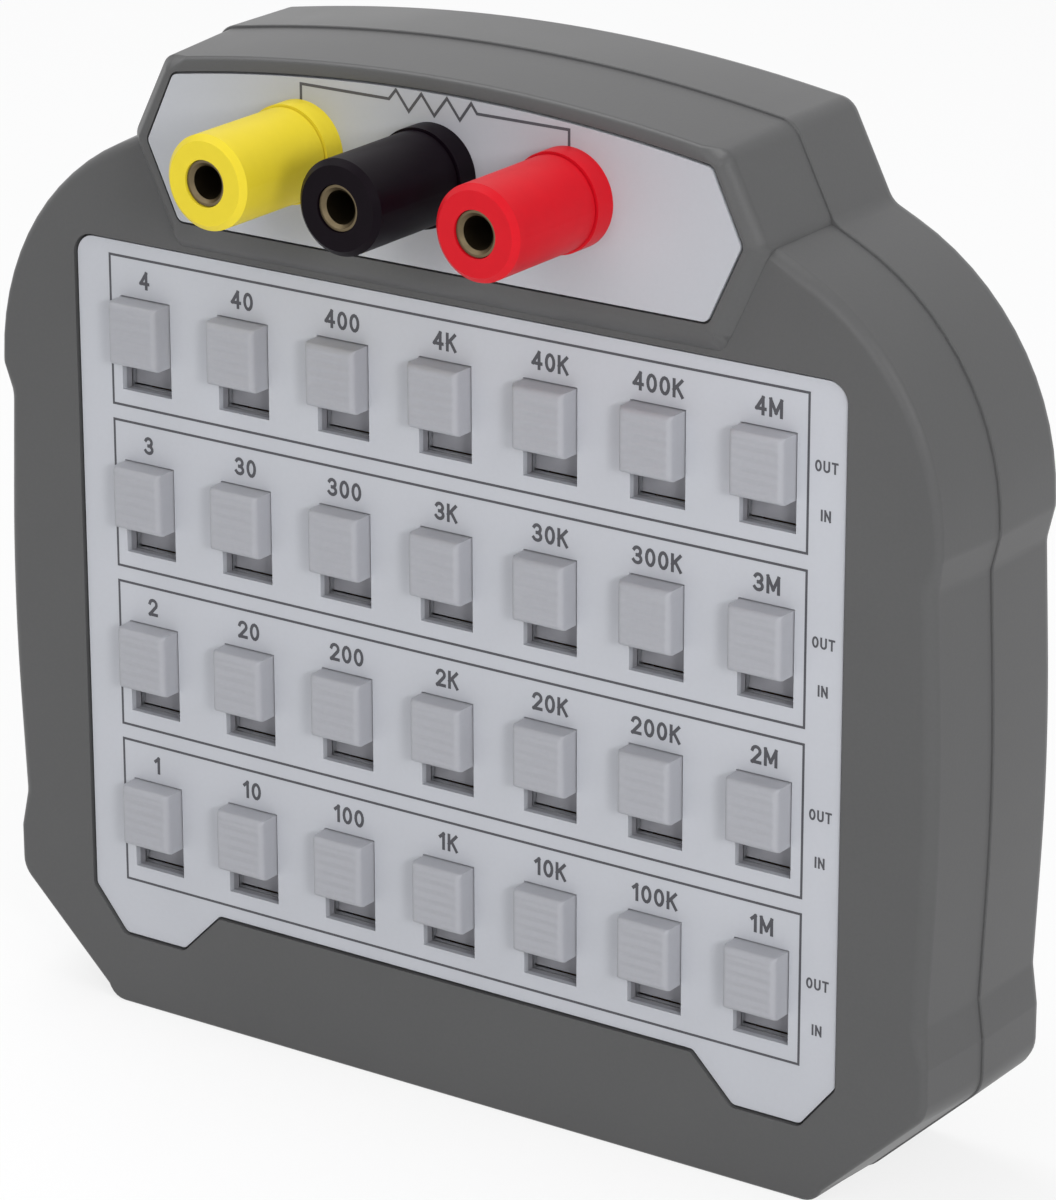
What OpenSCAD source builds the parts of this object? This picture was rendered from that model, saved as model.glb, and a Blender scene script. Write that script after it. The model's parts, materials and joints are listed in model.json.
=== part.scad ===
// Decade resistance box: a two-shell moulded case with a raised head, two front plates,
// a grid of slide switches on a board behind them, and binding posts on the head.
// The box stands on its base: x runs to its right, y into its depth and z up.
// The origin is the middle of the underside.

/* [Case] */
// Width across the shoulders
case_w = 136.6; // [132:0.1:150]
// Height from the base to the crown of the head
case_h = 129.8; // [127:0.1:140]
// Depth from the front face to the back
case_d = 26; // [24:0.5:36]
// Wall thickness of both shells
wall = 2.4; // [2:0.1:2.8]
// Depth of the front shell, from the front face to the parting line
front_d = 11.7; // [11:0.1:14]
// How far the walls of the front shell lean in from the parting line to the front
draft = 0.8; // [0.4:0.1:1.2]
// How far the rear shell stands out past the front shell at the parting line
rear_step = 0.3; // [0.1:0.05:0.5]
// Rounding of the front edge
edge_round = 0.9; // [0.6:0.1:1.4]
// Rounding of the front edge where the shoulders meet the head
neck_round = 1.6; // [0.6:0.1:2]
// Rounding of the front edge along the base
foot_round = 0.5; // [0.4:0.1:1.4]
// Rounding of the rear edge
rear_round = 2.4; // [1.6:0.1:2.8]
// Rounding of the front edge along the hand grips
grip_round = 1.6; // [1:0.1:2]
// Depth of the hand grips in the sides
grip_depth = 1; // [0.6:0.1:1.8]
// Bow of the hand grips, outwards at half height
grip_bow = 1.2; // [0.4:0.1:1.6]
// Width of the flat base
base_w = 105.4; // [96:0.2:112]
// Height of the slanted lower corners
foot_h = 14.3; // [10:0.1:18]
// Radius of the shoulders
shoulder_r = 33.6; // [26:0.2:36]
// Slope of the shoulders where they meet the head
shoulder_slope = 25.5; // [20:0.5:32]

/* [Head] */
// Width of the head at its widest, where it meets the shoulders
head_w = 91.9; // [86:0.1:98]
// Width of the head at its upper corners
crown_w = 80.7; // [76:0.1:86]
// Width of the head at its lower corners
chin_w = 79.6; // [74:0.1:84]
// Height of the head from its lower edge to its crown
head_h = 27.5; // [26:0.1:30]
// Height of the head below its widest line
chin_h = 13; // [11:0.1:14]
// Radius of the arched crown
crown_r = 240; // [200:5:400]
// How far the head stands in front of the case
head_raise = 1.5; // [1.4:0.1:2.5]
// Width of the slanted edge around the head
head_chamfer = 1.4; // [0.8:0.1:1.6]
// Width of the slanted edge along the crown
crown_chamfer = 0.5; // [0.3:0.1:1.6]

/* [Front plates] */
// Thickness of the front plates
plate_t = 0.8; // [0.5:0.1:1]
// How far the switch plate sits below the case around it
plate_recess = 0.4; // [0.2:0.1:0.6]
// How far the head plate stands out of the head
plate_rise = 0.1; // [0:0.05:0.3]
// Gap between a plate and its recess
plate_gap = 0.3; // [0.2:0.05:0.5]
// Width of the case's front on each side of the switch plate
plate_margin = 13.3; // [11:0.1:14]
// Distance from the head's lower edge down to the top edge of the switch plate
plate_drop = 1.1; // [0.6:0.1:2]
// Height of the lower edge of the switch plate between its tabs
plate_low = 15.4; // [14.5:0.1:17]
// How far the two tabs hang below the switch plate
tab_drop = 5.7; // [3:0.1:7]
// Width of one tab along its lower edge
tab_w = 9.3; // [6:0.1:12]
// Distance of the tabs' outer corners from the plate's sides
tab_inset = 4.7; // [3:0.1:6]
// Distance from the outline of the head to its plate
head_rim = 3.6; // [3.2:0.1:4.5]
// Distance from the crown to the head's plate
crown_rim = 2.9; // [2.2:0.1:4.5]

/* [Switches] */
// Strip of the switch plate beside the switch columns
col_margin = 2.85; // [2:0.05:4]
// Strip of the switch plate above the switch rows
row_margin = 1.6; // [1:0.1:3]
// How far the slots sit below the middle of their rows
row_shift = 0.7; // [0:0.1:1]
// Width of a slider's knob
knob_w = 7.3; // [5:0.1:7.6]
// Height of a slider's knob
knob_h = 7.9; // [7:0.1:9]
// How far a knob stands out of the plate
knob_reach = 3; // [2.5:0.1:5]
// Travel of a slider between out and in
travel = 3.8; // [2:0.1:4]
// Running gap around a slider
slide_gap = 0.15; // [0.1:0.05:0.3]
// Gap between the switch frames of neighbouring columns
frame_gap_x = 3.3; // [2.5:0.1:3.6]
// Gap between the switch frames of neighbouring rows
frame_gap_z = 0.4; // [0.4:0.05:1.5]
// Sheet thickness of a switch frame
sheet_t = 0.5; // [0.3:0.1:0.6]
// Height of a switch frame above the board
frame_d = 7; // [6.5:0.1:7.5]
// Thickness of a switch base
base_t = 1.6; // [1.2:0.1:2]
// Diameter of a switch terminal
pin_d = 0.9; // [0.6:0.1:1.2]
// Distance between switch terminals
pin_pitch = 4.5; // [3.5:0.1:5]

/* [Board] */
// Strip of the board below the switch frames
board_rim = 1.2; // [0.6:0.1:2]
// Strip of the board above the switch frames, where the wires end
wire_strip = 4.6; // [4:0.1:5]
// Thickness of the board
board_t = 1.6; // [1.2:0.1:2]
// Diameter of a resistor's body
resistor_d = 2.4; // [1.8:0.1:3]
// Length of a resistor's body
resistor_l = 6.4; // [5:0.1:7]
// Diameter of a resistor's lead
lead_d = 0.6; // [0.4:0.05:0.8]

/* [Binding posts] */
// Distance between the posts
post_pitch = 18.9; // [17:0.05:20]
// Distance from the crown down to the posts' axis
post_drop = 12.3; // [11.5:0.1:13.5]
// Diameter of a screw cap
cap_d = 11.4; // [10:0.1:12]
// Length of a screw cap
cap_l = 15.4; // [12:0.1:18]
// Diameter of a collar
collar_d = 12; // [10.5:0.1:13]
// Thickness of a collar's flange
collar_t = 3; // [2.5:0.1:4]
// Diameter of the plug socket in a stud
socket_d = 4; // [3.8:0.05:4.1]
// Depth of the plug socket
socket_l = 14; // [10:0.1:14]
// Diameter of a stud over its thread
stud_d = 5.4; // [5:0.1:5.8]
// Diameter of the threaded insert in a cap
insert_d = 7.6; // [7:0.1:8.2]
// Running clearance of a turning fit, on the radius
turn_fit = 0.05; // [0.03:0.01:0.08]
// Width across the flats of a post nut
nut_af = 8; // [7:0.1:9]
// Thickness of a post nut
nut_t = 2.5; // [2:0.1:3]
// Diameter of a post wire over its insulation
wire_d = 1.6; // [1.2:0.1:2]

/* [Screws] */
// Thread diameter of the case screws
case_screw_d = 2.9; // [2.6:0.1:3.2]
// Thread diameter of the board screws
board_screw_d = 2.5; // [2:0.1:3]
// Distance of the lower case screws from the side of the case
screw_inset = 7.8; // [7:0.1:8.5]
// Height of the lower case screws
low_screw_z = 24; // [22:0.5:34]
// Distance between the two case screws in the head
head_screw_pitch = 67; // [64:0.5:70]

/* [Hidden] */
// Longest and widest step of an outline's rounded corner, in millimetres and degrees
arc_length = 3;
arc_turn = 9;
// Fewest steps of an outline's rounded corner
arc_steps = 3;
// Steps of an edge rounding
edge_steps = 4;
// How soon the lean of a wall fades out around the flat base
lean_fade = 4;
$fn = 48;

columns = 7;
rows = 4;
decades = ["", "0", "00", "k", "0k", "00k", "m"];
slider_names = [for (row = [1:rows]) for (decade = decades) str("slider_", row, decade)];
post_names = ["yellow", "black", "red"];
post_colours = ["gold", "#202022", "crimson"];

// Depth of the main planes
front_y = -case_d / 2;
back_y = case_d / 2;
part_y = front_y + front_d;
head_y = front_y - head_raise;
plate_y = front_y + plate_recess;
head_plate_y = head_y - plate_rise;
inner_y = front_y + wall;
board_y = inner_y + 0.1 + frame_d;
board_back_y = board_y + board_t;

// Outline of the case, right half, as corners [x, z, radius, edge rounding, edge rounding at the corner's end]
side_x = case_w / 2;
foot_r = 4.5;
grip_r = 4;
bow_r = 300;
corner_r = 3;
low_x = side_x - 0.3;
low_z = foot_h + 6.4;
grip_low_z = low_z + 5;
neck_x = head_w / 2;
neck_z = case_h - head_h + chin_h;
shoulder_z = neck_z - (side_x - neck_x) * tan(shoulder_slope);
bulge_z = shoulder_z - shoulder_r * tan((90 - shoulder_slope) / 2) - 0.8;
grip_top_z = bulge_z - 4.1;
grip_x = side_x - grip_depth;
crown_half = crown_w / 2;
crown_turn = asin((crown_half - 4) / crown_r);
apex_z = case_h + crown_r * (1 / cos(crown_turn) - 1);
crown_z = apex_z - crown_half * tan(crown_turn);
chin_z = case_h - head_h;
body_corners = [
    [base_w / 2, 0, foot_r, foot_round],
    [low_x, foot_h, foot_r, edge_round],
    [low_x, low_z, corner_r, edge_round],
    [grip_x, grip_low_z, grip_r, grip_round],
    [grip_x + grip_bow, (grip_low_z + grip_top_z) / 2, bow_r, grip_round],
    [grip_x, grip_top_z, grip_r, grip_round],
    [side_x, bulge_z, corner_r, edge_round],
    [side_x, shoulder_z, shoulder_r, edge_round, neck_round]
];
// Point on the shoulder's slope inside the head, where the body's own outline closes
tuck = 9;
tucked = [[neck_x - tuck, neck_z + tuck * tan(shoulder_slope), corner_r, neck_round]];

case_corners = concat(body_corners, upper_corners(corner_r));
case_path = rounded(mirrored(case_corners, apex()));
rear_path = rounded(mirrored(stepped(case_corners), stepped(apex())));
body_path = rounded(mirrored(concat(body_corners, tucked), []));
head_path = rounded(mirrored(concat(chin_corner(corner_r), upper_corners(corner_r)), apex()));
seat_r = 1;
seat_lift = head_rim - crown_rim;
seat_corners = concat(chin_corner(head_rim + seat_r), upper_corners(head_rim + seat_r, seat_lift));
seat_path = rounded(mirrored(seat_corners, apex(seat_lift)));

// Outline of the switch plate, right half
plate_half = side_x - plate_margin;
plate_top = chin_z - plate_drop;
tab_r = 1;
plate_r = 2.5;
plate_corners = [
    [plate_half - tab_inset - tab_w - tab_drop, plate_low, tab_r, 0],
    [plate_half - tab_inset - tab_w, plate_low - tab_drop, tab_r, 0],
    [plate_half - tab_inset, plate_low - tab_drop, tab_r, 0],
    [plate_half, plate_low, tab_r, 0],
    [plate_half, plate_top, plate_r, 0]
];
plate_path = rounded(mirrored(plate_corners, []));

// Switches
col_pitch = 2 * (plate_half - col_margin) / columns;
row_pitch = (plate_top - plate_low - row_margin) / rows;
first_row_z = plate_low + row_pitch / 2 - row_shift;
last_row_z = first_row_z + (rows - 1) * row_pitch;
frame_w = col_pitch - frame_gap_x;
frame_h = row_pitch - frame_gap_z;
board_low = first_row_z - frame_h / 2 - board_rim;
board_top = last_row_z + frame_h / 2 + wire_strip;
slot_w = knob_w + 2 * slide_gap;
slot_h = knob_h + travel + 2 * slide_gap;
case_slot_w = slot_w + 0.3;
case_slot_h = slot_h + 0.3;
frame_y = board_y - frame_d;
base_y = board_y - base_t;
rivet_t = 0.5;
rivet_d = 2.2;
bridge_t = 0.4;
bridge_w = 2;
contact_gap = 0.2;
carrier_gap = 0.2;
carrier_y = frame_y + sheet_t + carrier_gap;
bridge_y = base_y - rivet_t - contact_gap - bridge_t;
bridge_fit = 0.02;
carrier_w = frame_w - 2 * sheet_t - 4 * slide_gap;
carrier_h = frame_h - 2 * sheet_t - travel - 2 * slide_gap;
bridge_l = pin_pitch + rivet_d;
base_fit = 0.05;
pin_fit = 0.1;
pin_tail = 1;
knob_y = plate_y - knob_reach;
lead_run = 0.6;
lead_bend = 0.6;
groove_r = 0.35;
grooves = 4;
groove_pitch = knob_h / (grooves + 1);

// Binding posts, along their axis from the face of the head plate outwards
post_z = case_h - post_drop;
head_stack = inner_y - head_plate_y;
flange_d = 8.6;
flange_t = 1.2;
cap_gap = 0.2;
tip_h = collar_t + cap_gap + cap_l;
stud_tip = 0.3;
mouth = 0.4;
cap_face_t = 2.2;
insert_h = collar_t + cap_gap + 0.2;
insert_top = tip_h - cap_face_t - 0.1;
spigot_d = 7.4;
post_hole_d = spigot_d + 0.2;
washer_d = 10;
washer_t = 1;
lug_t = 0.6;
lug_d = 9;
lug_tail_w = 3;
lug_tail_l = 12;
nut_fit = 0.05;
stud_end = 1;
lug_h = -head_stack - washer_t - nut_t - lug_t;
stud_low = lug_h - nut_t - stud_end;
lug_y = head_plate_y - lug_h;
wire_y = lug_y - lug_t / 2;
wire_top_z = post_z - lug_tail_l;
wire_z = board_top - 2;
wire_bend = 2;

// Fasteners
boss_wall = 1.5;
boss_room = 0.5;
board_boss_d = board_screw_d + 2 * boss_wall;
case_boss_d = case_screw_d + 2 * boss_wall;
screw_fit = 0.05;
shank_fit = 0.3;
board_screw_x = (columns - 1) / 2 * col_pitch + frame_w / 2 + boss_room + board_boss_d / 2;
board_w = 2 * (board_screw_x + board_boss_d / 2 + boss_room);
board_screw_zs = [board_low + 5, (board_low + board_top) / 2, board_top - 5];
board_screw_l = 6;
case_screw_l = 14;
pan_t = 1.8;
pan_d_ratio = 2;
sink_t = 1;
sink_fit = 0.4;
sink_d = case_screw_d * pan_d_ratio + 2 * sink_fit;
sink_wall = 1.2;
case_boss_y = board_back_y + 2;
boss_joint = 0.1;
low_screw_x = max(side_x - screw_inset, board_w / 2 + boss_room + case_boss_d / 2);
case_screw_spots = [
    [low_screw_x, low_screw_z],
    [-low_screw_x, low_screw_z],
    [head_screw_pitch / 2, post_z + 1],
    [-head_screw_pitch / 2, post_z + 1]
];

// Parting line between the shells
rim_edge = 0.15;
rim_gap = 0.05;
rear_rim_y = part_y + rim_gap;
lip_t = wall / 2;
lip_l = 1.5;
lip_fit = 0.1;
embed = 0.6;
past = 1;

// Corners of the head: on its right half from the neck up, on its middle line, and at its lower edge
function upper_corners(r, lift = 0) = [
    [neck_x, neck_z, r, head_chamfer],
    [crown_half, crown_z + lift, r, head_chamfer]
];
function apex(lift = 0) = [[0, apex_z + lift, crown_r, crown_chamfer]];
function chin_corner(r) = [[chin_w / 2, chin_z, r, head_chamfer]];

// Corners of the front shell moved out to the rear shell's outline, on the same base
function stepped(corners) = [
    for (c = corners) [c[0] * (1 + rear_step / side_x), c[1] * (1 + rear_step / case_h), c[2], rear_round]
];

// Edge rounding at the end of a corner, where it differs from the one at its start
function edge_to(corner) = len(corner) > 4 ? corner[4] : corner[3];

// Right half of an outline joined to its mirror image, with any corners on the middle line between them
function mirrored(half, middle) = concat(
    half,
    middle,
    [for (i = [len(half) - 1:-1:0]) let (c = half[i]) [-c[0], c[1], c[2], edge_to(c), c[3]]]
);

// Points of one rounded corner, each with its outward normal and its edge rounding
function corner_arc(before, corner, after) =
    let (
        b = [corner[0], corner[1]],
        way_in = b - [before[0], before[1]],
        way_out = [after[0], after[1]] - b,
        u = way_in / norm(way_in),
        v = way_out / norm(way_out),
        turn = atan2(u.x * v.y - u.y * v.x, u * v),
        side = sign(turn),
        r = corner[2],
        start_normal = [u.y, -u.x],
        centre = b - u * r * tan(abs(turn) / 2) - side * r * start_normal,
        fine = max(arc_steps, abs(turn) / arc_turn, r * abs(turn) * PI / 180 / arc_length),
        steps = 2 * floor(fine / 2) + 1
    )
    [for (i = [0:steps])
        let (
            a = turn * i / steps,
            n = start_normal * cos(a) + [-start_normal.y, start_normal.x] * sin(a)
        )
        [centre + side * r * n, n, corner[3] + (edge_to(corner) - corner[3]) * i / steps]
    ];

// Closed outline of corners, each rounded to its own radius
function rounded(corners) =
    let (n = len(corners))
    [for (i = [0:n - 1]) each corner_arc(corners[(i + n - 1) % n], corners[i], corners[(i + 1) % n])];

// Plain outline, moved inwards by a distance
function inset(path, by) = [for (p = path) p[0] - by * p[1]];

// How far a wall with an outward normal leans in at a depth; the base stays flat
function lean(normal, y) = draft * max(0, part_y - y) / front_d * min(1, lean_fade * (1 + normal.y));

// One ring of a moulding: moved inwards by a share of each point's own edge rounding plus a distance
function ring(path, y, share_in, share_on, by = 0) = [
    for (p = path)
        let (
            depth = y + share_on * p[2],
            q = p[0] - (share_in * p[2] + by + lean(p[1], depth)) * p[1]
        )
        [q.x, depth, q.y]
];

// Rings of an edge that turns from a face at y into the walls, towards the back if way is 1
function edge_rings(path, y, way, steps) = [
    for (i = [0:steps])
        let (a = 90 * i / steps)
        ring(path, y, 1 - sin(a), way * (1 - cos(a)))
];

// Solid through mirrored rings of equal length, closed at each end by strips from side to side
module lofted(rings) {
    count = len(rings[0]);
    last = len(rings) - 1;
    sides = [
        for (k = [0:last - 1]) for (i = [0:count - 1])
            let (
                j = (i + 1) % count,
                a = k * count + i,
                b = k * count + j,
                c = (k + 1) * count + j,
                d = (k + 1) * count + i
            )
            each [[a, b, d], [b, c, d]]
    ];
    ends = [
        for (i = [0:count / 2 - 2])
            let (
                across = count - 1 - i,
                base = last * count
            )
            each [
                [across, across - 1, i + 1, i],
                [base + i, base + i + 1, base + across - 1, base + across]
            ]
    ];
    polyhedron(points = [for (r = rings) each r], faces = concat(sides, ends));
}

// Flat slab of an outline, from one depth to another
module slab(points, y_from, y_to) {
    translate([0, y_to, 0])
        rotate([90, 0, 0])
            linear_extrude(y_to - y_from)
                polygon(points);
}

// Block between two depths, centred on [x, z]
module block(spot, w, h, y_from, y_to) {
    translate([spot.x - w / 2, y_from, spot.y - h / 2])
        cube([w, y_to - y_from, h]);
}

// Rod between two depths, centred on [x, z]
module rod(spot, d, y_from, y_to) {
    translate([spot.x, y_to, spot.y])
        rotate([90, 0, 0])
            cylinder(d = d, h = y_to - y_from);
}

// Places its child at a post, with the child's z along the post's axis, outwards from the head plate
module at_post(i) {
    translate([post_spot(i).x, head_plate_y, post_spot(i).y])
        rotate([90, 0, 0])
            children();
}

function post_spot(i) = [(i - 1) * post_pitch, post_z];
function switch_spot(row, column) = [
    (column - (columns - 1) / 2) * col_pitch,
    first_row_z + row * row_pitch
];
switch_spots = [for (row = [0:rows - 1]) for (column = [0:columns - 1]) switch_spot(row, column)];
board_screw_spots = [for (side = [-1, 1]) for (z = board_screw_zs) [side * board_screw_x, z]];

// Front moulding before it is cored: the body, and the head that stands in front of it
module front_moulding() {
    lofted(concat(edge_rings(body_path, front_y, 1, edge_steps), [ring(body_path, part_y, 0, 0)]));
    lofted(concat(edge_rings(head_path, head_y, 1, 1), [ring(head_path, part_y, 0, 0)]));
}

module front_case() {
    color("#636466")
        difference() {
            union() {
                difference() {
                    front_moulding();
                    slab(inset(case_path, wall), inner_y, part_y + past);
                    slab(inset(case_path, lip_t), part_y - lip_l - rim_gap, part_y + past);
                }
                for (spot = board_screw_spots)
                    rod(spot, board_boss_d, inner_y - embed, board_y);
                for (spot = case_screw_spots)
                    rod(spot, case_boss_d, inner_y - embed, case_boss_y);
            }
            slab(inset(plate_path, -plate_gap), front_y - past, plate_y + plate_t);
            slab(inset(seat_path, head_rim - plate_gap), head_y - past, head_plate_y + plate_t);
            for (spot = switch_spots)
                block(spot, case_slot_w, case_slot_h, front_y - past, inner_y + past);
            for (i = [0:len(post_names) - 1])
                rod(post_spot(i), post_hole_d, head_y - past, inner_y + past);
            for (spot = board_screw_spots)
                rod(spot, board_screw_d + 2 * screw_fit, inner_y + screw_fit, board_y + past);
            for (spot = case_screw_spots)
                rod(spot, case_screw_d + 2 * screw_fit, inner_y + screw_fit, case_boss_y + past);
        }
}

module rear_case() {
    color("#5e5f61")
        difference() {
            union() {
                difference() {
                    lofted(concat(
                        [ring(rear_path, rear_rim_y, 0, 0, rim_edge), ring(rear_path, rear_rim_y + rim_edge, 0, 0)],
                        [for (i = [edge_steps:-1:0]) edge_rings(rear_path, back_y, -1, edge_steps)[i]]
                    ));
                    slab(inset(case_path, wall), part_y - past, back_y - wall);
                }
                difference() {
                    slab(inset(case_path, lip_t + lip_fit), part_y - lip_l, part_y + embed);
                    slab(inset(case_path, wall), part_y - lip_l - past, part_y + embed + past);
                }
                for (spot = case_screw_spots)
                    rod(spot, sink_d + 2 * sink_wall, case_boss_y + boss_joint, back_y - wall + embed);
            }
            for (spot = case_screw_spots) {
                rod(spot, case_screw_d + 2 * shank_fit, case_boss_y - past, back_y + past);
                rod(spot, sink_d, back_y - sink_t - pan_t, back_y + past);
            }
        }
}

module switch_plate() {
    color("#b9bbbf")
        difference() {
            slab(inset(plate_path, 0), plate_y, plate_y + plate_t);
            for (spot = switch_spots)
                block(spot, slot_w, slot_h, plate_y - past, plate_y + plate_t + past);
        }
}

module head_plate() {
    color("#b9bbbf")
        difference() {
            slab(inset(seat_path, head_rim), head_plate_y, head_plate_y + plate_t);
            for (i = [0:len(post_names) - 1])
                rod(post_spot(i), post_hole_d, head_plate_y - past, head_plate_y + plate_t + past);
        }
}

module circuit_board() {
    color("#2f6b46")
        difference() {
            block([0, (board_low + board_top) / 2], board_w, board_top - board_low, board_y, board_back_y);
            for (spot = board_screw_spots)
                rod(spot, board_screw_d + 2 * shank_fit, board_y - past, board_back_y + past);
            for (spot = switch_spots)
                for (k = [-1:1])
                    rod(spot + [0, k * pin_pitch], pin_d + 2 * pin_fit, board_y - past, board_back_y + past);
        }
}

module switch_frames() {
    color("#c9ccd0")
        for (spot = switch_spots)
            difference() {
                block(spot, frame_w, frame_h, frame_y, board_y);
                block(spot, frame_w - 2 * sheet_t, frame_h - 2 * sheet_t, frame_y + sheet_t, board_y + past);
                block(spot, slot_w, slot_h, frame_y - past, frame_y + sheet_t + past);
            }
}

module switch_bases() {
    color("#6b4a2b")
        for (spot = switch_spots)
            difference() {
                block(
                    spot,
                    frame_w - 2 * sheet_t - 2 * base_fit,
                    frame_h - 2 * sheet_t - 2 * base_fit,
                    base_y,
                    board_y
                );
                for (k = [-1:1])
                    rod(spot + [0, k * pin_pitch], pin_d + 2 * base_fit, base_y - past, board_y + past);
            }
}

module switch_terminals() {
    color("#d8d2b8")
        for (spot = switch_spots)
            for (k = [-1:1]) {
                rod(spot + [0, k * pin_pitch], pin_d, base_y - rivet_t, board_back_y + pin_tail);
                rod(spot + [0, k * pin_pitch], rivet_d, base_y - rivet_t, base_y);
            }
}

// Rod that runs down by its first length, bends towards the back and runs on by its second length
module bent_rod(d, bend, first, second) {
    translate([0, 0, -first])
        cylinder(d = d, h = first);
    translate([0, bend, -first])
        rotate([0, 90, 0])
            rotate([0, 0, -90])
                rotate_extrude(angle = 90)
                    translate([bend, 0])
                        circle(d = d);
    translate([0, bend + second, -first - bend])
        rotate([90, 0, 0])
            cylinder(d = d, h = second);
}

// Axial resistor lying across the back of the board, with its leads bent down to it
module resistor(spot) {
    stand = resistor_d / 2 + 0.6;
    translate([spot.x, board_back_y + stand, spot.y]) {
        rotate([0, 90, 0])
            cylinder(d = resistor_d, h = resistor_l, center = true);
        for (side = [0, 1])
            mirror([side, 0, 0])
                translate([resistor_l / 2 - embed, 0, 0])
                    rotate(a = 180, v = [1, 0, -1])
                        bent_rod(lead_d, lead_bend, embed + lead_run, stand - lead_bend);
    }
}

module resistors() {
    color("#9fb9c9")
        for (spot = switch_spots)
            resistor(spot + [0, pin_pitch + pin_d + resistor_d]);
}

// Screw with a round pan head, its head's seat at y and its shank towards the front
module screw(spot, d, length, y) {
    rod(spot, d, y - length, y);
    translate([spot.x, y, spot.y])
        rotate([-90, 0, 0])
            difference() {
                cylinder(d1 = d * pan_d_ratio, d2 = d * pan_d_ratio * 0.8, h = pan_t);
                for (turn = [0, 90])
                    rotate(turn)
                        translate([-d / 2, -d / 8, pan_t * 0.55])
                            cube([d, d / 4, pan_t]);
            }
}

module board_screws() {
    color("#c9ccd0")
        for (spot = board_screw_spots)
            screw(spot, board_screw_d, board_screw_l, board_back_y);
}

module case_screws() {
    color("#3a3b3d")
        for (spot = case_screw_spots)
            screw(spot, case_screw_d, case_screw_l, back_y - sink_t - pan_t);
}

module collar(i) {
    color(post_colours[i])
        at_post(i)
            difference() {
                union() {
                    cylinder(d = collar_d, h = collar_t);
                    translate([0, 0, -head_stack])
                        cylinder(d = spigot_d, h = head_stack + embed);
                }
                translate([0, 0, -head_stack - past])
                    cylinder(d = stud_d + 2 * nut_fit, h = head_stack + collar_t + 2 * past);
                translate([0, 0, collar_t - flange_t])
                    cylinder(d = flange_d + 2 * nut_fit, h = flange_t + past);
            }
}

module stud(i) {
    color("#d6d2c4")
        at_post(i)
            difference() {
                union() {
                    translate([0, 0, stud_low])
                        cylinder(d = stud_d, h = tip_h - stud_tip - stud_low);
                    translate([0, 0, collar_t - flange_t])
                        cylinder(d = flange_d, h = flange_t);
                }
                translate([0, 0, tip_h - stud_tip - socket_l])
                    cylinder(d = socket_d, h = socket_l + past);
                translate([0, 0, tip_h - stud_tip - mouth])
                    cylinder(d1 = socket_d, d2 = socket_d + 4 * mouth, h = 2 * mouth);
            }
}

module insert(i) {
    color("#c9a44c")
        at_post(i)
            translate([0, 0, insert_h])
                difference() {
                    cylinder(d = insert_d, h = insert_top - insert_h);
                    translate([0, 0, -past])
                        cylinder(d = stud_d + 2 * turn_fit, h = insert_top - insert_h + 2 * past);
                }
}

module cap(i) {
    tip_edge = 0.7;
    cap_low = collar_t + cap_gap;
    hole_r = stud_d / 2 + 2 * turn_fit;
    bore_r = insert_d / 2 + turn_fit;
    color(post_colours[i])
        at_post(i)
            rotate_extrude()
                polygon([
                    [bore_r, cap_low],
                    [cap_d / 2, cap_low],
                    [cap_d / 2, tip_h - tip_edge],
                    [cap_d / 2 - tip_edge, tip_h],
                    [hole_r, tip_h],
                    [hole_r, tip_h - cap_face_t],
                    [bore_r, tip_h - cap_face_t]
                ]);
}

module post_washers() {
    color("#d9d4c3")
        for (i = [0:len(post_names) - 1])
            at_post(i)
                translate([0, 0, -head_stack - washer_t])
                    difference() {
                        cylinder(d = washer_d, h = washer_t);
                        translate([0, 0, -past])
                            cylinder(d = stud_d + 2 * nut_fit, h = washer_t + 2 * past);
                    }
}

module post_nuts() {
    color("#c9ccd0")
        for (i = [0:len(post_names) - 1])
            for (h = [-head_stack - washer_t - nut_t, lug_h - nut_t])
                at_post(i)
                    translate([0, 0, h])
                        difference() {
                            cylinder(d = nut_af / cos(30), h = nut_t, $fn = 6);
                            translate([0, 0, -past])
                                cylinder(d = stud_d + 2 * nut_fit, h = nut_t + 2 * past);
                        }
}

module post_lugs() {
    color("#d8d2b8")
        for (i = [0:len(post_names) - 1])
            at_post(i)
                translate([0, 0, lug_h])
                    difference() {
                        union() {
                            cylinder(d = lug_d, h = lug_t);
                            translate([-lug_tail_w / 2, -lug_tail_l, 0])
                                cube([lug_tail_w, lug_tail_l, lug_t]);
                        }
                        translate([0, 0, -past])
                            cylinder(d = stud_d + 2 * nut_fit, h = lug_t + 2 * past);
                    }
}

// Wire from a post's lug down to the board, with one bend
module wire(i) {
    color(post_colours[i])
        translate([post_spot(i).x, wire_y, wire_top_z])
            bent_rod(wire_d, wire_bend, wire_top_z - wire_z - wire_bend, board_y - wire_y - wire_bend);
}

// Slider pushed up: a grooved knob, the carrier that the frame holds, and its bridging contact
module slider(spot) {
    knob_z = travel / 2;
    nose = 0.5;
    color("#a9abb0")
        translate([spot.x, 0, spot.y + knob_z]) {
            translate([-knob_w / 2, 0, 0])
                rotate([90, 0, 90])
                    linear_extrude(knob_w)
                        difference() {
                            polygon([
                                [knob_y + nose, -knob_h / 2],
                                [carrier_y + embed, -knob_h / 2],
                                [carrier_y + embed, knob_h / 2],
                                [knob_y + nose, knob_h / 2],
                                [knob_y, knob_h / 2 - nose],
                                [knob_y, nose - knob_h / 2]
                            ]);
                            for (k = [1:grooves])
                                translate([knob_y, k * groove_pitch - knob_h / 2])
                                    circle(r = groove_r);
                        }
            block([0, 0], carrier_w, carrier_h, carrier_y, bridge_y - bridge_fit);
        }
    color("#d8d2b8")
        block(spot + [0, knob_z], bridge_w, bridge_l, bridge_y, bridge_y + bridge_t);
}

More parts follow.
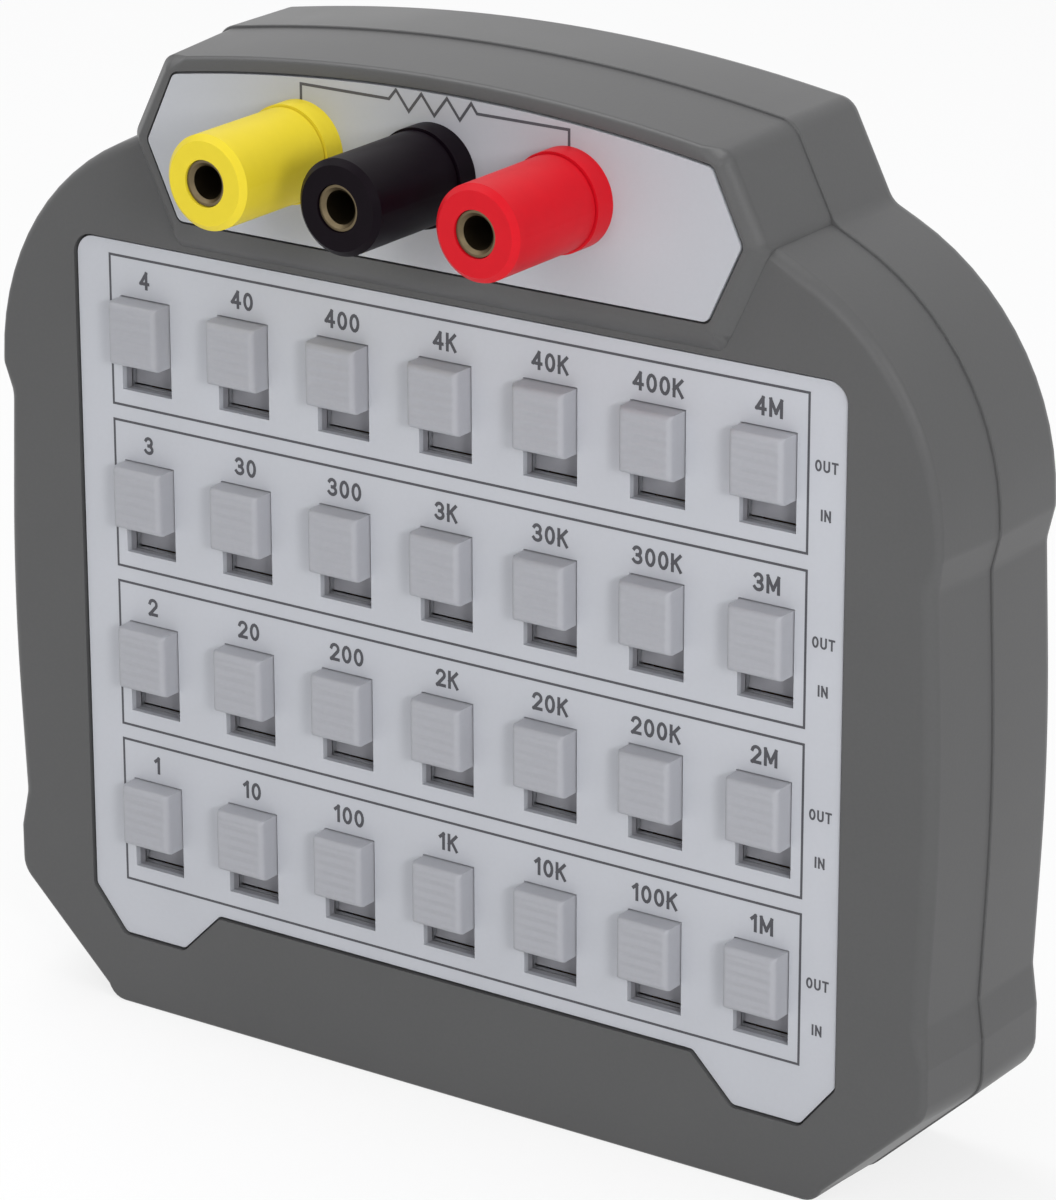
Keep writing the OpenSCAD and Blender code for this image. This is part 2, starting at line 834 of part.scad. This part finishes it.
front_case();
rear_case();
switch_plate();
head_plate();
circuit_board();
switch_frames();
switch_bases();
switch_terminals();
resistors();
board_screws();
case_screws();
post_washers();
post_nuts();
post_lugs();
for (i = [0:len(post_names) - 1]) {
    collar(i);
    stud(i);
    insert(i);
    cap(i);
    wire(i);
}
for (i = [0:len(slider_names) - 1])
    slider(switch_spots[i]);
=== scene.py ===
"""Decade resistance box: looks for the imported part, seen from its upper right front."""

import json
import math

import bmesh
import bpy
from mathutils import Matrix, Vector


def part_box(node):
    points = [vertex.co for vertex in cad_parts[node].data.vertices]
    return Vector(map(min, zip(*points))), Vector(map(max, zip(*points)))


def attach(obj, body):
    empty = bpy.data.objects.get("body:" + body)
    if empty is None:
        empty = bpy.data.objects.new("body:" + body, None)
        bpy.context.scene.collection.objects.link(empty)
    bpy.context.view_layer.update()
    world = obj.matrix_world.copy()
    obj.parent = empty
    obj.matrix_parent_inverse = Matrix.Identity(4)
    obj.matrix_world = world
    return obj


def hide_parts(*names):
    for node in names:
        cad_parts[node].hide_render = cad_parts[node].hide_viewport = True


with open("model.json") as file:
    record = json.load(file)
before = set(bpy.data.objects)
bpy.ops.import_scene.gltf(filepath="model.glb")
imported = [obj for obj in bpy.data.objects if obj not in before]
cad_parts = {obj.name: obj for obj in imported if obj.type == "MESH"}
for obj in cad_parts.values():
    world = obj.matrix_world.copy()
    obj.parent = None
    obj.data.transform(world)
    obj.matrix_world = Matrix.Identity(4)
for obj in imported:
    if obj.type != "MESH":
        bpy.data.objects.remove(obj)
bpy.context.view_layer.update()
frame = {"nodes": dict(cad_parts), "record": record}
nodes = frame["nodes"]
scene = bpy.context.scene
MM = 0.001

# Sizes in millimetres that follow the part's own
ROWS = 4
COL_PITCH = 14.9
ROW_PITCH = 21.05
ROW_LOW = 17.2
ROW_W = 100.0
ROW_H = 19.0
KNOB_W = 7.3
KNOB_H = 7.9
KNOB_L = 5.8
POST_PITCH = 18.9

# For each column, the end of a slider's name and the end of its printed value
DECADES = [
    ("", ""), ("0", "0"), ("00", "00"), ("k", "K"), ("0k", "0K"), ("00k", "00K"), ("m", "M"),
]
MIDDLE_COLUMN = (len(DECADES) - 1) / 2


def link(obj):
    scene.collection.objects.link(obj)
    return obj


# Materials
NOISE_LOW, NOISE_HIGH = 0.3, 0.7  # most of a noise's values lie between these
PATCH_SCALE = 45.0
GLOSS_SWING = 0.08
COAT_ROUGH = 0.12


def noise(tree, scale, detail, rough):
    """Noise in the object's own space, so it stays with a piece that moves."""
    coord = tree.nodes.new("ShaderNodeTexCoord")
    tex = tree.nodes.new("ShaderNodeTexNoise")
    tex.inputs["Scale"].default_value = scale
    tex.inputs["Detail"].default_value = detail
    tex.inputs["Roughness"].default_value = rough
    tree.links.new(coord.outputs["Object"], tex.inputs["Vector"])
    return tex.outputs["Fac"]


def spread(tree, value, low, high):
    """A noise's middle range, spread between two numbers."""
    node = tree.nodes.new("ShaderNodeMapRange")
    node.inputs["From Min"].default_value = NOISE_LOW
    node.inputs["From Max"].default_value = NOISE_HIGH
    node.inputs["To Min"].default_value = low
    node.inputs["To Max"].default_value = high
    tree.links.new(value, node.inputs["Value"])
    return node.outputs["Result"]


def average(tree, first, second):
    """Mean of two values."""
    both = tree.nodes.new("ShaderNodeMath")
    both.operation = "MULTIPLY_ADD"
    both.inputs[1].default_value = 0.5
    half = tree.nodes.new("ShaderNodeMath")
    half.operation = "MULTIPLY"
    half.inputs[1].default_value = 0.5
    tree.links.new(first, both.inputs[0])
    tree.links.new(second, half.inputs[0])
    tree.links.new(half.outputs[0], both.inputs[2])
    return both.outputs[0]


def material(name, colour, rough, grain, metal=0.0, bump=0.06, depth=0.05, tint=0.05, coat=0.0,
             specular=0.5):
    """Surface with a fine grain, a slow change of tone and an uneven gloss."""
    mat = bpy.data.materials.new(name)
    mat.use_nodes = True
    tree = mat.node_tree
    shader = tree.nodes["Principled BSDF"]
    fine = noise(tree, grain, detail=4.0, rough=0.6)
    slow = noise(tree, PATCH_SCALE, detail=2.0, rough=0.5)
    ramp = tree.nodes.new("ShaderNodeValToRGB")
    dark, light = ramp.color_ramp.elements
    dark.position = NOISE_LOW
    light.position = NOISE_HIGH
    dark.color = [c * (1 - tint) for c in colour] + [1.0]
    light.color = [min(1.0, c * (1 + tint)) for c in colour] + [1.0]
    tree.links.new(average(tree, fine, slow), ramp.inputs["Fac"])
    tree.links.new(ramp.outputs["Color"], shader.inputs["Base Color"])
    gloss = spread(tree, slow, rough * (1 - GLOSS_SWING), rough * (1 + GLOSS_SWING))
    tree.links.new(gloss, shader.inputs["Roughness"])
    relief = tree.nodes.new("ShaderNodeBump")
    relief.inputs["Strength"].default_value = bump
    relief.inputs["Distance"].default_value = depth * MM
    tree.links.new(fine, relief.inputs["Height"])
    tree.links.new(relief.outputs["Normal"], shader.inputs["Normal"])
    shader.inputs["Metallic"].default_value = metal
    shader.inputs["Coat Weight"].default_value = coat
    shader.inputs["Coat Roughness"].default_value = COAT_ROUGH
    shader.inputs["Specular IOR Level"].default_value = specular
    return mat


# One material for each slot of the record, and two more: the head's plate, in a darker copy of the
# plate paint as painted shade, and the sliders' carriers, whose grey is also put on the slots'
# walls as painted light
mats = {
    "case": material(
        "case_plastic", (0.088, 0.088, 0.089), 0.38, 2600, bump=0.2, depth=0.04, specular=0.25
    ),
    "plate": material(
        "plate_paint", (0.475, 0.487, 0.523), 0.45, 2000, bump=0.05, tint=0.02, specular=0.3
    ),
    # Head's plate: the plate paint made darker, as painted shade against the stronger light that
    # falls on the head
    "head": material(
        "plate_paint_shaded_for_head", (0.425, 0.438, 0.47), 0.45, 2000, bump=0.05, tint=0.02, specular=0.3
    ),
    "knob": material("knob_plastic", (0.345, 0.35, 0.378), 0.4, 1500, tint=0.03, specular=0.4),
    # The carriers' own grey, which is also put on the slots' walls as painted light
    "carrier": material(
        "carrier_acetal_and_slot_light", (0.3, 0.3, 0.325), 0.45, 1500, bump=0.04, tint=0.03, specular=0.4
    ),
    "yellow": material(
        "post_yellow", (0.73, 0.58, 0.03), 0.42, 500, bump=0.03, tint=0.03, specular=0.2
    ),
    "black": material(
        "post_black", (0.004, 0.002, 0.004), 0.4, 500, bump=0.03, tint=0.2, specular=0.07
    ),
    "red": material("post_red", (0.56, 0.004, 0.012), 0.42, 500, bump=0.03, specular=0.18),
    "nickel": material("stud_nickel", (0.16, 0.125, 0.075), 0.42, 900, metal=1.0, tint=0.06),
    "brass": material("insert_brass", (0.72, 0.52, 0.2), 0.3, 900, metal=1.0, tint=0.08),
    "board": material("board_mask", (0.03, 0.17, 0.08), 0.35, 700, tint=0.15, coat=0.3),
    "tin": material("frame_tin", (0.6, 0.61, 0.62), 0.35, 600, metal=1.0, tint=0.08),
    "phenolic": material("base_laminate", (0.16, 0.08, 0.03), 0.5, 900, tint=0.15),
    "contact": material("contact_tin", (0.68, 0.64, 0.52), 0.32, 900, metal=1.0, tint=0.08),
    "resistor": material("resistor_lacquer", (0.3, 0.48, 0.56), 0.35, 800, tint=0.08, coat=0.3),
    "steel": material("screw_zinc", (0.6, 0.61, 0.62), 0.32, 900, metal=1.0, tint=0.08),
    "black_steel": material("screw_black", (0.035, 0.035, 0.038), 0.4, 1200, metal=0.6, tint=0.15),
    "washer": material("washer_nylon", (0.68, 0.65, 0.56), 0.5, 900),
    "wire_yellow": material("wire_yellow_skin", (0.8, 0.58, 0.03), 0.45, 900),
    "wire_black": material("wire_black_skin", (0.02, 0.02, 0.022), 0.45, 900, tint=0.1),
    "wire_red": material("wire_red_skin", (0.6, 0.02, 0.025), 0.45, 900),
}
ink = material("legend_ink", (0.06, 0.06, 0.07), 0.5, 3000, bump=0.02, tint=0.15)

# Each part gets its slot's material, and the head's plate gets the darker copy of the plate paint,
# as painted shade
for part in frame["record"]["subparts"]:
    data = nodes[part["node"]].data
    data.materials.clear()
    data.materials.append(mats["head" if part["node"] == "head_plate" else part["material_slot"]])


# Case shells: the CAD surfaces with their facets shaded as one smooth moulding
SMOOTH_LIMIT = math.radians(52)
MERGE = 0.002 * MM


def smooth_shell(node):
    """Copy of a shell that shades smoothly over every edge below the limit."""
    shell = link(bpy.data.objects.new(node + "_skin", nodes[node].data.copy()))
    mesh = shell.data
    custom = mesh.attributes.get("custom_normal")
    if custom:
        mesh.attributes.remove(custom)
    bm = bmesh.new()
    bm.from_mesh(mesh)
    bmesh.ops.remove_doubles(bm, verts=bm.verts, dist=MERGE)
    for face in bm.faces:
        face.smooth = True
    for edge in bm.edges:
        edge.smooth = edge.is_manifold and edge.calc_face_angle(math.pi) < SMOOTH_LIMIT
    bm.to_mesh(mesh)
    bm.free()
    weights = shell.modifiers.new("flat_faces_stay_flat", "WEIGHTED_NORMAL")
    weights.keep_sharp = True
    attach(shell, "case")
    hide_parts(node)
    return shell


def lighten_slot_walls(shell):
    """Painted light in the slots: their walls, of the case's dark plastic, get the lighter grey of
    the carriers behind them, so the recesses show less shade.
    """
    mesh = shell.data
    mesh.materials.append(mats["carrier"])
    half_w = ROW_W / 2 * MM
    low = ROW_LOW * MM
    top = (ROW_LOW + (ROWS - 1) * ROW_PITCH + ROW_H) * MM
    inside = [abs(v.co.x) < half_w and low < v.co.z < top for v in mesh.vertices]
    for face in mesh.polygons:
        if all(inside[i] for i in face.vertices):
            face.material_index = 1


# Front shell, with painted light on the walls of its slots
lighten_slot_walls(smooth_shell("front_case"))
smooth_shell("rear_case")


# Sliders: rounded knobs with cross ribs, on plain carriers; lengths in millimetres
KNOB_EDGE = 0.75
KNOB_CREASE = math.radians(40)
EDGE_TURN = (0, 18, 36, 54, 72)  # degrees round an edge at which it has points
ACROSS, ALONG = 6, 44  # spaces between an edge and the one opposite
RIBS = 5
RIB_DEPTH = 0.16
RIB_END_FADE = 0.4
RIB_SIDE_GAP = 0.5
RIB_SIDE_FADE = 0.5


def add_box(bm, lo, hi):
    corners = [
        bm.verts.new((x, y, z))
        for z in (lo[2], hi[2]) for y in (lo[1], hi[1]) for x in (lo[0], hi[0])
    ]
    quads = (0, 2, 3, 1), (4, 5, 7, 6), (0, 1, 5, 4), (2, 6, 7, 3), (0, 4, 6, 2), (1, 3, 7, 5)
    for quad in quads:
        bm.faces.new([corners[i] for i in quad])


def stations(length, middle):
    """Positions across a knob's face, close together over its rounded edges."""
    turn = [KNOB_EDGE * (1 - math.cos(math.radians(a))) for a in EDGE_TURN]
    inside = [KNOB_EDGE + (length - 2 * KNOB_EDGE) * i / middle for i in range(middle + 1)]
    outer = [length - t for t in reversed(turn)]
    return [p - length / 2 for p in turn + inside + outer]


def rounding(gap):
    """How far a knob's rounded edge falls back at a distance from the side."""
    if gap >= KNOB_EDGE:
        return 0.0
    return KNOB_EDGE - math.sqrt(max(0.0, KNOB_EDGE * KNOB_EDGE - (KNOB_EDGE - gap) ** 2))


def fade_in(value, start, length):
    """Rises from 0 at the start to 1 over a length."""
    return min(1.0, max(0.0, (value - start) / length))


def knob_drop(x, z):
    """How far a knob's face lies behind its foremost plane, at a place on it."""
    side, end = KNOB_W / 2 - abs(x), KNOB_H / 2 - abs(z)
    drop = min(KNOB_EDGE, math.hypot(rounding(side), rounding(end)))
    mask = fade_in(end, KNOB_EDGE, RIB_END_FADE) * fade_in(side, RIB_SIDE_GAP, RIB_SIDE_FADE)
    turns = RIBS * (z + KNOB_H / 2 - KNOB_EDGE) / (KNOB_H - 2 * KNOB_EDGE)
    wave = 0.5 - 0.5 * math.cos(2 * math.pi * turns)
    return drop + RIB_DEPTH * mask * (1 - wave)


def knob_mesh(front, seat, back, half_w, half_h):
    """Knob with its face at front and its foot at seat, and a carrier behind it that ends at back.

    The depths are in millimetres, and the carrier's half width and half height in metres.
    """
    xs, zs = stations(KNOB_W, ACROSS), stations(KNOB_H, ALONG)
    bm = bmesh.new()
    grid = [
        [bm.verts.new((x * MM, (front + knob_drop(x, z)) * MM, z * MM)) for x in xs] for z in zs
    ]
    for low, high in zip(grid, grid[1:]):
        for i in range(len(xs) - 1):
            bm.faces.new((low[i], low[i + 1], high[i + 1], high[i]))
    rim = grid[0] + [r[-1] for r in grid[1:]] + grid[-1][-2::-1] + [r[0] for r in grid[-2:0:-1]]
    foot = [bm.verts.new((v.co.x, seat * MM, v.co.z)) for v in rim]
    for i in range(len(rim)):
        j = (i + 1) % len(rim)
        bm.faces.new((rim[i], foot[i], foot[j], rim[j]))
    bm.normal_update()
    for face in bm.faces:
        face.smooth = True
    for edge in bm.edges:
        edge.smooth = edge.is_boundary or edge.calc_face_angle(0) < KNOB_CREASE
    knob_faces = len(bm.faces)
    add_box(bm, (-half_w, seat * MM, -half_h), (half_w, back * MM, half_h))
    bm.faces.ensure_lookup_table()
    for face in bm.faces[knob_faces:]:
        face.material_index = 1
    bmesh.ops.recalc_face_normals(bm, faces=bm.faces)
    mesh = bpy.data.meshes.new("knob")
    bm.to_mesh(mesh)
    bm.free()
    mesh.materials.append(mats["knob"])
    mesh.materials.append(mats["carrier"])
    return mesh


slider_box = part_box("slider_1")
slider_size = slider_box[1] - slider_box[0]
knob = knob_mesh(
    slider_box[0].y / MM,
    slider_box[0].y / MM + KNOB_L,
    slider_box[1].y / MM,
    slider_size.x / 2,
    slider_size.z / 2,
)
for row in range(1, ROWS + 1):
    for short, _ in DECADES:
        name = f"slider_{row}{short}"
        lo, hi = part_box(name)
        piece = link(bpy.data.objects.new(name + "_knob", knob))
        piece.location = ((lo.x + hi.x) / 2, 0, (lo.z + hi.z) / 2)
        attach(piece, name + "_body")
        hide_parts(name)


# Legends on the plates, as ink just above the paint; lengths in millimetres unless times MM
LIFT = 0.012 * MM
LAYER = 0.002 * MM
ARC_STEP = 24  # degrees
LETTER_GAP = 1.75  # widths of a stroke between two signs
FRAME_STROKE = 0.32
VALUE_RISE, VALUE_H, VALUE_STROKE = 16.4, 2.3, 0.42
STATE_X, STATE_H, STATE_STROKE = 52.4, 1.4, 0.26
OUT_RISE, IN_RISE = 10.7, 4.9
SYMBOL_STROKE = 0.36
# Resistor sign: leads from the outer posts and a zigzag between them, as [x, z]
SYMBOL = [
    (-POST_PITCH, 122.9), (-POST_PITCH, 125.4), (-6.2, 125.4),
    (-5.2, 126.6), (-3.4, 124.3), (-1.6, 126.6), (0.2, 124.3),
    (2.0, 126.6), (3.8, 124.3), (5.4, 126.5),
    (6.2, 125.4), (POST_PITCH, 125.4), (POST_PITCH, 122.9),
]


def add_stroke(bm, points, width, y):
    """Flat ribbon along points, each [x, z], with mitred corners and square ends."""
    spots = [Vector(p) for p in points]
    closed = (spots[0] - spots[-1]).length < 1e-6
    if closed:
        spots.pop()
    ways = [(b - a).normalized() for a, b in zip(spots, spots[1:])]
    if closed:
        ways.append((spots[0] - spots[-1]).normalized())
    else:
        spots[0] = spots[0] - ways[0] * width / 2
        spots[-1] = spots[-1] + ways[-1] * width / 2
    rails = []
    for i, spot in enumerate(spots):
        before = ways[i - 1] if closed or i else ways[0]
        after = ways[min(i, len(ways) - 1)]
        mitre = (before + after).normalized()
        side = Vector((mitre.y, -mitre.x)) * width / 2 / mitre.dot(after)
        rails.append([bm.verts.new((p.x * MM, y, p.y * MM)) for p in (spot + side, spot - side)])
    if closed:
        rails.append(rails[0])
    for (right_a, left_a), (right_b, left_b) in zip(rails, rails[1:]):
        bm.faces.new((left_a, right_a, right_b, left_b))


def arc(x, z, rx, rz, start, end):
    """Points of a round stroke, between two angles in degrees."""
    count = max(3, round(abs(end - start) / ARC_STEP))
    angles = [math.radians(start + (end - start) * i / count) for i in range(count + 1)]
    return [(x + rx * math.cos(a), z + rz * math.sin(a)) for a in angles]


# Signs as strokes, in a box one high; each has its width and its strokes
ROUND = [arc(0.28, 0.5, 0.28, 0.5, 90, 450)]
SIGNS = {
    "0": (0.56, ROUND),
    "1": (0.3, [[(0.0, 0.78), (0.26, 1.0)], [(0.26, 1.0), (0.26, 0.0)]]),
    "2": (0.56, [
        arc(0.28, 0.72, 0.28, 0.28, 170, -30) + [(0.0, 0.0)], [(0.0, 0.0), (0.56, 0.0)],
    ]),
    "3": (0.56, [
        arc(0.27, 0.75, 0.25, 0.25, 155, -90), arc(0.27, 0.25, 0.29, 0.25, 90, -155),
    ]),
    "4": (0.6, [
        [(0.45, 0.0), (0.45, 1.0)], [(0.45, 1.0), (0.0, 0.3)], [(0.0, 0.3), (0.6, 0.3)],
    ]),
    "K": (0.58, [
        [(0.0, 0.0), (0.0, 1.0)], [(0.56, 1.0), (0.0, 0.4)], [(0.2, 0.6), (0.58, 0.0)],
    ]),
    "M": (0.76, [
        [(0.0, 0.0), (0.0, 1.0)], [(0.0, 1.0), (0.38, 0.2)],
        [(0.38, 0.2), (0.76, 1.0)], [(0.76, 1.0), (0.76, 0.0)],
    ]),
    "O": (0.56, ROUND),
    "U": (0.56, [[(0.0, 1.0)] + arc(0.28, 0.28, 0.28, 0.28, 180, 360) + [(0.56, 1.0)]]),
    "T": (0.56, [[(0.0, 1.0), (0.56, 1.0)], [(0.28, 1.0), (0.28, 0.0)]]),
    "I": (0.0, [[(0.0, 0.0), (0.0, 1.0)]]),
    "N": (0.56, [
        [(0.0, 0.0), (0.0, 1.0)], [(0.0, 1.0), (0.56, 0.0)], [(0.56, 0.0), (0.56, 1.0)],
    ]),
}


def add_text(bm, words, x, z, height, stroke, y):
    """Upright lettering of a height and a stroke width, centred on [x, z].

    Strokes of one sign that cross lie a little above each other, so that no two faces share a
    plane.
    """
    size = height - stroke
    step = stroke * LETTER_GAP
    at = x - (sum(SIGNS[c][0] * size for c in words) + step * (len(words) - 1)) / 2
    for c in words:
        width, strokes = SIGNS[c]
        for layer, points in enumerate(strokes):
            placed = [(at + px * size, z + (pz - 0.5) * size) for px, pz in points]
            add_stroke(bm, placed, stroke, y - layer * LAYER)
        at += width * size + step


def legend(name, bm):
    mesh = bpy.data.meshes.new(name)
    bm.to_mesh(mesh)
    bm.free()
    mesh.materials.append(ink)
    piece = link(bpy.data.objects.new(name, mesh))
    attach(piece, "case")


face_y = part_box("switch_plate")[0].y - LIFT
left, right = -ROW_W / 2, ROW_W / 2
bm = bmesh.new()
for r in range(ROWS):
    low = ROW_LOW + r * ROW_PITCH
    high = low + ROW_H
    corners = [(left, low), (right, low), (right, high), (left, high), (left, low)]
    add_stroke(bm, corners, FRAME_STROKE, face_y)
    for c, (_, shown) in enumerate(DECADES):
        x = (c - MIDDLE_COLUMN) * COL_PITCH
        add_text(bm, f"{r + 1}{shown}", x, low + VALUE_RISE, VALUE_H, VALUE_STROKE, face_y)
    add_text(bm, "OUT", STATE_X, low + OUT_RISE, STATE_H, STATE_STROKE, face_y)
    add_text(bm, "IN", STATE_X, low + IN_RISE, STATE_H, STATE_STROKE, face_y)
legend("switch_plate_legend", bm)

bm = bmesh.new()
add_stroke(bm, SYMBOL, SYMBOL_STROKE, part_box("head_plate")[0].y - LIFT)
legend("head_plate_symbol", bm)


# Stage and light, in metres and watts
FLOOR_SIZE = 6.0
FLOOR_COLOUR = (0.9, 0.9, 0.9, 1.0)
FLOOR_ROUGH = 0.9
FLOOR_WHITE = 0.8  # share of plain white in what the camera sees of the floor
SKY_COLOUR = (0.97, 0.98, 1.0, 1.0)
SKY_STRENGTH = 0.32
MIDDLE = Vector((0, 0, 0.065))


def white_in_view(tree, surface, share):
    """White for the camera, mirrors and glass, by a share, and the given shader for other light."""
    path = tree.nodes.new("ShaderNodeLightPath")
    seen = path.outputs["Is Camera Ray"]
    for kind in ("Is Glossy Ray", "Is Transmission Ray"):
        either = tree.nodes.new("ShaderNodeMath")
        either.operation = "MAXIMUM"
        tree.links.new(seen, either.inputs[0])
        tree.links.new(path.outputs[kind], either.inputs[1])
        seen = either.outputs[0]
    part = tree.nodes.new("ShaderNodeMath")
    part.operation = "MULTIPLY"
    part.inputs[1].default_value = share
    tree.links.new(seen, part.inputs[0])
    plain = tree.nodes.new("ShaderNodeEmission")
    plain.inputs["Color"].default_value = (1.0, 1.0, 1.0, 1.0)
    mix = tree.nodes.new("ShaderNodeMixShader")
    tree.links.new(part.outputs[0], mix.inputs["Fac"])
    tree.links.new(surface, mix.inputs[1])
    tree.links.new(plain.outputs["Emission"], mix.inputs[2])
    return mix.outputs["Shader"]


bpy.ops.mesh.primitive_plane_add(size=FLOOR_SIZE, location=(0, 0, 0))
floor = bpy.context.object
floor.name = "floor"
paper = bpy.data.materials.new("floor_paper")
paper.use_nodes = True
tree = paper.node_tree
shader = tree.nodes["Principled BSDF"]
shader.inputs["Base Color"].default_value = FLOOR_COLOUR
shader.inputs["Roughness"].default_value = FLOOR_ROUGH
lit = white_in_view(tree, shader.outputs["BSDF"], FLOOR_WHITE)
tree.links.new(lit, tree.nodes["Material Output"].inputs["Surface"])
floor.data.materials.append(paper)

world = bpy.data.worlds.new("studio")
scene.world = world
world.use_nodes = True
tree = world.node_tree
sky = tree.nodes["Background"]
sky.inputs["Color"].default_value = SKY_COLOUR
sky.inputs["Strength"].default_value = SKY_STRENGTH
lit = white_in_view(tree, sky.outputs["Background"], 1.0)
tree.links.new(lit, tree.nodes["World Output"].inputs["Surface"])


def softbox(name, place, size, power, shine=True):
    """Square lamp aimed at the middle of the box; one without shine shows in no reflection."""
    light = bpy.data.lights.new(name, "AREA")
    light.shape = "SQUARE"
    light.size = size
    light.energy = power
    lamp = link(bpy.data.objects.new(name, light))
    lamp.location = place
    lamp.rotation_mode = "QUATERNION"
    lamp.rotation_quaternion = (MIDDLE - Vector(place)).to_track_quat("-Z", "Y")
    lamp.visible_camera = False
    lamp.visible_glossy = shine


softbox("top_box", (-0.4, 0.08, 1.21), size=0.96, power=10.0)
softbox("front_box", (0.15, -1.27, 0.72), size=0.75, power=4.0)
softbox("key_box", (0.66, -0.55, 0.33), size=0.16, power=2.6, shine=False)
softbox("right_box", (0.75, -0.25, 0.55), size=0.5, power=1.8)

# Camera, where the photograph was taken from
AZIMUTH = math.radians(34.634)
ELEVATION = math.radians(19.722)
ROLL = math.radians(-0.107)
AIM = Vector((11.758, -12.6, 67.066)) * MM
DISTANCE = 0.62096
back = Vector((
    math.sin(AZIMUTH) * math.cos(ELEVATION),
    -math.cos(AZIMUTH) * math.cos(ELEVATION),
    math.sin(ELEVATION),
))
level = Vector((math.cos(AZIMUTH), math.sin(AZIMUTH), 0))
up = back.cross(level)
lens = bpy.data.cameras.new("camera")
lens.lens = 158.612
lens.sensor_width = 36.0
lens.clip_start = 0.01
camera = link(bpy.data.objects.new("camera", lens))
turned_level = math.cos(ROLL) * level + math.sin(ROLL) * up
turned_up = -math.sin(ROLL) * level + math.cos(ROLL) * up
axes = Matrix((turned_level, turned_up, back)).transposed().to_4x4()
camera.matrix_world = Matrix.Translation(AIM + back * DISTANCE) @ axes
scene.camera = camera
scene.view_settings.view_transform = "Standard"
